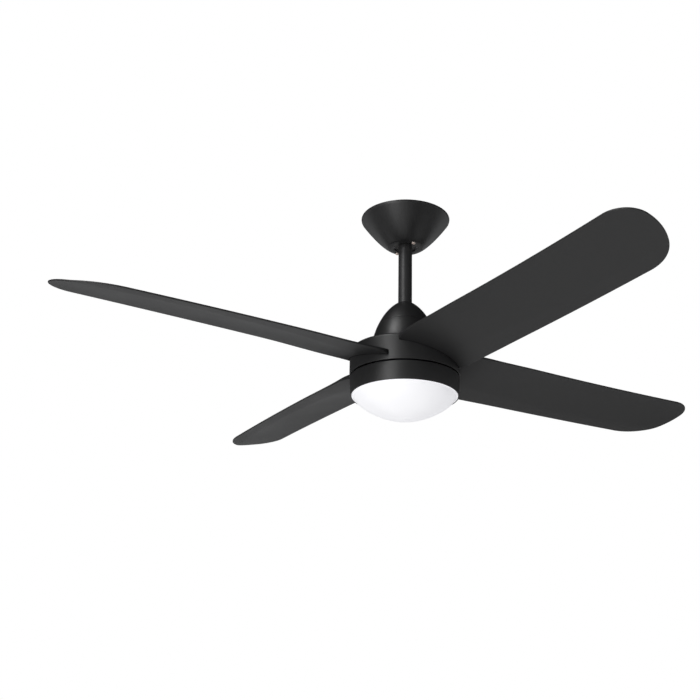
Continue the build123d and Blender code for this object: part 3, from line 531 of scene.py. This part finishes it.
def lens():
    """The opal bowl under the ring, with its brim and the collar that turns in the bayonet."""
    brim = low_z("light_housing")
    depth, radius, wall = 44.3 * MM, 94.1 * MM, 2.2 * MM
    rim_radius, rim = 96.3 * MM, 2.0 * MM
    collar_outer, collar_inner, collar_top = 90.2 * MM, 88.4 * MM, high_z("opal_lens")

    def bowl(size, drop):
        rows = []
        for i in range(60):
            share = math.sin(math.pi / 2 * (0.5 + i) / 60)
            rows.append((size * share, brim - drop * (1 - share ** 1.64) ** 0.75))
        return rows

    outside = bowl(radius, depth)
    inside = [p for p in bowl(radius - wall, depth - wall) if p[0] < collar_inner - 0.6 * MM][::-1]
    corners = outside + [(radius, brim - 0.2 * MM), (radius + 0.2 * MM, brim), (rim_radius, brim),
                         (rim_radius, brim + rim), (collar_outer, brim + rim), (collar_outer, collar_top),
                         (collar_inner, collar_top), (collar_inner, brim)]
    obj = lathe("opal_bowl", softened(corners + inside, 0.4 * MM, 4), 192)
    finish_piece(obj, "opal_lens", "lens")


# ---- blades -----------------------------------------------------------------------------------
def smooth(share):
    """Eases from 0 to 1 with level ends."""
    share = np.clip(share, 0.0, 1.0)
    return share * share * (3 - 2 * share)


# Blade sizes, in millimetres: out from the axis, and across from the blade's centre line.
LEAD_ROOT, TRAIL_ROOT = 64.0, 65.5        # where the edges meet the drum
LEAD_WIDTH, TRAIL_WIDTH = 70.4, 66.8      # where the edges turn into the tip
LEAD_NECK, LEAD_WAIST = (150.0, -71.6), (350.0, -67.3)
TRAIL_NECK, TRAIL_BELLY = (104.0, 73.3), (315.0, 73.8)
TIP_CORNER_LENGTH, TIP_CORNER_WIDTH, TIP_SWEEP_LENGTH = 47.4, 40.0, 102.3
EDGE_ROUNDING = 1.3
ROOT_HEIGHT, ROOT_SLOPE, ROOT_DISH = -0.9, 0.208, 0.00055
ROOT_START, ROOT_LENGTH = 95.0, 160.0     # where the root's shape starts to fade, and over how far
SHEET_THICKNESS, ROOT_THICKENING, THICKENING_FADE = 3.2, 6.3, 30.0
MID_SPAN = 405.0
CREASE_OFFSET, CREASE_HEIGHT, CREASE_ROUNDING = 43.8, -5.2, 5.0
CREASE_BOW = 3000.0                       # the crease curves inward by the square of the span over this
LEAD_SLOPE, CREASE_SLOPE, FLAP_SLOPE = 0.112, 0.344, 0.184
DIHEDRAL, DIHEDRAL_LEAD = 0.0075, 105.0   # the rise per millimetre, and how far before mid span it is nil
UPSWEEP, TWIST = 0.000046, 0.000044
TANG_INNER, TANG_OUTER, TANG_HALF_WIDTH, TANG_HALF_THICKNESS = 59.5, 103.0, 42.0, 1.9


def middle_height(out, across):
    """Height of a blade's middle surface above the blades' reference height, all in millimetres."""
    beyond = out - MID_SPAN
    past = across - (CREASE_OFFSET - beyond ** 2 / CREASE_BOW)
    bend = (CREASE_SLOPE - FLAP_SLOPE) / 2 * (np.sqrt(past ** 2 + CREASE_ROUNDING ** 2) - CREASE_ROUNDING)
    fade = (CREASE_SLOPE - LEAD_SLOPE) / (2 * (LEAD_WIDTH + CREASE_OFFSET))
    height = CREASE_HEIGHT - (CREASE_SLOPE + FLAP_SLOPE) / 2 * past + bend - fade * np.minimum(past, 0.0) ** 2
    height += DIHEDRAL * (beyond + DIHEDRAL_LEAD) + UPSWEEP * beyond ** 2 - TWIST * beyond * across
    root = ROOT_HEIGHT - ROOT_SLOPE * across + ROOT_DISH * across ** 2
    return root + (height - root) * smooth((out - ROOT_START) / ROOT_LENGTH)


def thickness(out):
    """A blade's thickness, which grows towards its root."""
    start = math.sqrt((drum_radius / MM) ** 2 - LEAD_ROOT ** 2)
    return SHEET_THICKNESS + ROOT_THICKENING * np.exp(-np.maximum(out - start, 0.0) / THICKENING_FADE)


def arc_through(a, b, c, count):
    """Points on the circle through three points, from the first to the last."""
    (ax, ay), (bx, by), (cx, cy) = a, b, c
    a2, b2, c2 = ax * ax + ay * ay, bx * bx + by * by, cx * cx + cy * cy
    d = 2 * (ax * (by - cy) + bx * (cy - ay) + cx * (ay - by))
    ux = (a2 * (by - cy) + b2 * (cy - ay) + c2 * (ay - by)) / d
    uy = (a2 * (cx - bx) + b2 * (ax - cx) + c2 * (bx - ax)) / d
    radius = math.hypot(ax - ux, ay - uy)
    first, last = math.atan2(ay - uy, ax - ux), math.atan2(cy - uy, cx - ux)
    middle = math.atan2(by - uy, bx - ux)
    full = 2 * math.pi
    if (last - first) % full < (middle - first) % full:
        sweep = (last - first) % full - full
    else:
        sweep = (last - first) % full
    angles = first + sweep * np.linspace(0, 1, count)
    return np.stack([ux + radius * np.cos(angles), uy + radius * np.sin(angles)], axis=1)


def arc_on(start, along, end, count):
    """Points on the circle that leaves a point in a direction and reaches another point."""
    start, along, end = np.array(start), np.array(along), np.array(end)
    along = along / np.hypot(*along)
    aside = np.array([-along[1], along[0]])
    step = end - start
    radius = (step @ step) / (2 * (step @ aside))
    centre = start + aside * radius
    first = math.atan2(*(start - centre)[::-1])
    turn = (math.atan2(*(end - centre)[::-1]) - first + math.pi) % (2 * math.pi) - math.pi
    angles = first + turn * np.linspace(0, 1, count)
    return centre + abs(radius) * np.stack([np.cos(angles), np.sin(angles)], axis=1)


def blade_edges():
    """Leading and trailing edges seen from above, each as points from the root out to the tip."""
    tip, drum = tip_radius / MM, drum_radius / MM
    tip_y = TIP_CORNER_WIDTH - LEAD_WIDTH

    def edge(foot_y, neck, middle, corner_y, length, width, steps):
        main = arc_through(neck, middle, (tip - length, corner_y), 300)
        foot = (math.sqrt(drum ** 2 - foot_y ** 2), foot_y)
        root = arc_on(main[0], main[0] - main[1], foot, 60)[::-1]
        inside = np.array([[drum / 2, foot_y]])
        turn = np.linspace(math.copysign(math.pi / 2, corner_y), 0, steps)
        corner = np.stack([tip - length + length * np.cos(turn), tip_y + width * np.sin(turn)], axis=1)
        return np.vstack([inside, root[:-1], main[:-1], corner])

    lead = edge(-LEAD_ROOT, LEAD_NECK, LEAD_WAIST, -LEAD_WIDTH, TIP_CORNER_LENGTH, TIP_CORNER_WIDTH, 60)
    trail = edge(TRAIL_ROOT, TRAIL_NECK, TRAIL_BELLY, TRAIL_WIDTH, TIP_SWEEP_LENGTH, TRAIL_WIDTH - tip_y, 90)
    return lead, trail


def distance_to_outline(points, outline):
    """Shortest distance from each point to a run of points, as straight pieces."""
    starts, ends = outline[:-1], outline[1:]
    best = np.full(len(points), 1e9)
    for a, b in zip(starts, ends):
        step = b - a
        length = float(step @ step)
        share = np.clip(((points - a) @ step) / max(length, 1e-12), 0, 1)
        gap = np.hypot(*(points - (a + share[:, None] * step)).T)
        best = np.minimum(best, gap)
    return best


def blade_mesh(name):
    """One blade as a closed skin with rounded edges, its root fitted to the drum's wall."""
    lead, trail = blade_edges()
    outline = np.vstack([lead, trail[::-1]])
    tip, wall = tip_radius / MM, drum_radius / MM + 0.3
    root_zone, tip_zone, fit_length = 60.0, 40, 75.0
    rim = np.array([0, 0.0006, 0.002, 0.004, 0.0065, 0.0095, 0.014, 0.022, 0.036])
    near = np.concatenate([rim, np.linspace(0.06, 0.94, 45), 1 - rim[::-1]])
    first = np.linspace(0, 1, 22)[:-1] ** 1.3 * root_zone
    rest = root_zone + np.linspace(0, 1, 70) ** 0.9 * (tip - root_zone - wall)
    last = tip - tip_zone * (1 - np.sin(np.linspace(0, math.pi / 2, 34))) - wall
    spans = np.concatenate([first, rest])
    spans = np.concatenate([spans[spans < tip - wall - tip_zone], last[:-1], [tip - wall - 0.01]])
    rows = []
    for span in spans:
        base = wall + span
        hug = 1 - smooth(span / fit_length)

        def at(across):
            return base + (np.sqrt(wall ** 2 - across ** 2) - wall) * hug

        y_low, y_high = -70.0, 70.0
        for _ in range(40):
            y_low = np.interp(at(y_low), lead[:, 0], lead[:, 1])
            y_high = np.interp(at(y_high), trail[:, 0], trail[:, 1])
        across = y_low + (y_high - y_low) * near
        rows.append(np.stack([at(across), across], axis=1))
    grid = np.array(rows)
    flat = grid.reshape(-1, 2)
    depth = distance_to_outline(flat, outline).reshape(grid.shape[:2])
    out, across = grid[..., 0], grid[..., 1]
    thick = thickness(out)
    inset = EDGE_ROUNDING - np.clip(depth, 0, EDGE_ROUNDING)
    half = thick / 2 - EDGE_ROUNDING + np.sqrt(EDGE_ROUNDING ** 2 - inset ** 2)
    middle = middle_height(out, across)
    count_r, count_c = grid.shape[:2]
    lower = np.stack([out, across, middle - half], axis=-1).reshape(-1, 3)
    upper = np.stack([out, across, middle + half], axis=-1).reshape(-1, 3)
    vertices = np.vstack([lower, upper]) * MM
    vertices[:, 2] += plane_z
    total = count_r * count_c
    faces = []
    for i in range(count_r - 1):
        for k in range(count_c - 1):
            a, b = i * count_c + k, i * count_c + k + 1
            c, d = b + count_c, a + count_c
            faces.append((a, b, c, d))
            faces.append((total + d, total + c, total + b, total + a))
    for i in range(count_r - 1):
        for k in (0, count_c - 1):
            a, d = i * count_c + k, (i + 1) * count_c + k
            faces.append((a, d, total + d, total + a))
    for k in range(count_c - 1):
        for i in (0, count_r - 1):
            a, b = i * count_c + k, i * count_c + k + 1
            faces.append((a, b, total + b, total + a))
    obj = make_object(name, [tuple(v) for v in vertices], faces)
    work = bmesh.new()
    work.from_mesh(obj.data)
    bmesh.ops.remove_doubles(work, verts=work.verts, dist=1e-6)
    bmesh.ops.dissolve_degenerate(work, edges=work.edges, dist=1e-7)
    bmesh.ops.recalc_face_normals(work, faces=work.faces)
    work.to_mesh(obj.data)
    work.free()
    obj.data.shade_smooth()
    return obj


def tang_mesh(name, turn):
    """The flat plate at a blade's root that runs into the drum."""
    tilt = math.atan(ROOT_SLOPE)
    corners = [(TANG_INNER, -TANG_HALF_WIDTH), (TANG_OUTER, -TANG_HALF_WIDTH),
               (TANG_OUTER, TANG_HALF_WIDTH), (TANG_INNER, TANG_HALF_WIDTH)]
    rounded = softened([(x * MM, y * MM) for x, y in corners], 3.0 * MM, 5)

    def face(level):
        z = level * MM
        return [(x, y * math.cos(tilt) + z * math.sin(tilt),
                 plane_z + ROOT_HEIGHT * MM - y * math.sin(tilt) + z * math.cos(tilt)) for x, y in rounded]

    obj = bar(name, face(-TANG_HALF_THICKNESS), face(TANG_HALF_THICKNESS))
    obj.data.transform(Matrix.Rotation(turn, 4, "Z"))
    return obj


def blades():
    """Four like blades a quarter turn apart, each with its tang."""
    for i in range(4):
        turn = math.pi / 2 * i
        obj = blade_mesh(f"blade_skin_{i + 1}")
        obj.data.transform(Matrix.Rotation(turn, 4, "Z"))
        finish_piece(obj, f"blade_{i + 1}", "rotor")
        tang = tang_mesh(f"blade_tang_{i + 1}", turn)
        tang.data.materials.append(MATERIALS["black_blade"])
        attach(tang, "rotor")


canopy()
covers()
drum()
light_ring()
lens()
blades()


# ---- room and light ---------------------------------------------------------------------------
def floor():
    """A plain pale floor at a room's height below the ceiling."""
    size, height, steps = 14.0, -2.6, 12
    vertices = [(size * (i / steps - 0.5), size * (k / steps - 0.5), height)
                for i in range(steps + 1) for k in range(steps + 1)]
    faces = []
    for i in range(steps):
        for k in range(steps):
            a = i * (steps + 1) + k
            faces.append((a, a + steps + 1, a + steps + 2, a + 1))
    obj = make_object("floor", vertices, faces)
    mat, nodes, links, shader = new_material("pale_floor", (0.85, 0.85, 0.85), 0.7)
    links.new(shade(nodes, links, noise(nodes, links, 3.0), (0.84, 0.84, 0.84), (0.87, 0.87, 0.87)),
              shader.inputs["Base Color"])
    obj.data.materials.append(mat)


def area_light(name, place, target, size, power):
    """A soft light in the camera's heading: right, ahead and up from the fan's axis, in metres and watts."""
    data = bpy.data.lights.new(name, "AREA")
    data.shape = "RECTANGLE"
    data.size, data.size_y = size
    data.energy = power
    obj = bpy.data.objects.new(name, data)
    bpy.context.scene.collection.objects.link(obj)
    obj.location = camera_turn @ Vector(place)
    toward = camera_turn @ Vector(target) - obj.location
    obj.visible_camera = False
    obj.rotation_mode = "QUATERNION"
    obj.rotation_quaternion = toward.to_track_quat("-Z", "Y")


BRIGHT_SIDE = (0.02, 0.05, -1.0)          # towards the brighter half of the room, which is below
DIM, BRIGHT = 0.02, 1.45
DIM_END, BRIGHT_START = -0.4, 0.75        # the cosines to that side between which the room brightens


def world():
    """White where the camera looks past the object. The light on the object comes from below."""
    bpy.context.scene.view_settings.view_transform = "Standard"
    made = bpy.data.worlds.new("studio")
    made.use_nodes = True
    nodes, links = made.node_tree.nodes, made.node_tree.links
    nodes.clear()
    seen, lit = nodes.new("ShaderNodeBackground"), nodes.new("ShaderNodeBackground")
    seen.inputs["Color"].default_value = (1, 1, 1, 1)
    seen.inputs["Strength"].default_value = 1.0
    lit.inputs["Color"].default_value = (0.98, 0.99, 1, 1)
    coords = nodes.new("ShaderNodeTexCoord")
    facing = nodes.new("ShaderNodeVectorMath")
    facing.operation = "DOT_PRODUCT"
    facing.inputs[1].default_value = camera_turn @ Vector(BRIGHT_SIDE).normalized()
    ramp = nodes.new("ShaderNodeMapRange")
    ramp.interpolation_type = "SMOOTHSTEP"
    ramp.inputs["From Min"].default_value = DIM_END
    ramp.inputs["From Max"].default_value = BRIGHT_START
    ramp.inputs["To Min"].default_value = DIM
    ramp.inputs["To Max"].default_value = BRIGHT
    links.new(coords.outputs["Generated"], facing.inputs[0])
    links.new(facing.outputs["Value"], ramp.inputs["Value"])
    links.new(ramp.outputs["Result"], lit.inputs["Strength"])
    path = nodes.new("ShaderNodeLightPath")
    mix = nodes.new("ShaderNodeMixShader")
    out = nodes.new("ShaderNodeOutputWorld")
    links.new(path.outputs["Is Camera Ray"], mix.inputs["Fac"])
    links.new(lit.outputs["Background"], mix.inputs[1])
    links.new(seen.outputs["Background"], mix.inputs[2])
    links.new(mix.outputs["Shader"], out.inputs["Surface"])
    bpy.context.scene.world = made


floor()
world()
area_light("key", (-1.42, -2.26, -0.5), (0, 0, -0.3), (0.95, 3.4), 46.0)
area_light("high", (-1.1, -1.0, 1.4), (0, 0, -0.25), (0.8, 0.7), 19.0)
area_light("bounce", (0, 0, -2.5), (0, 0, 0), (6.0, 6.0), 56.0)
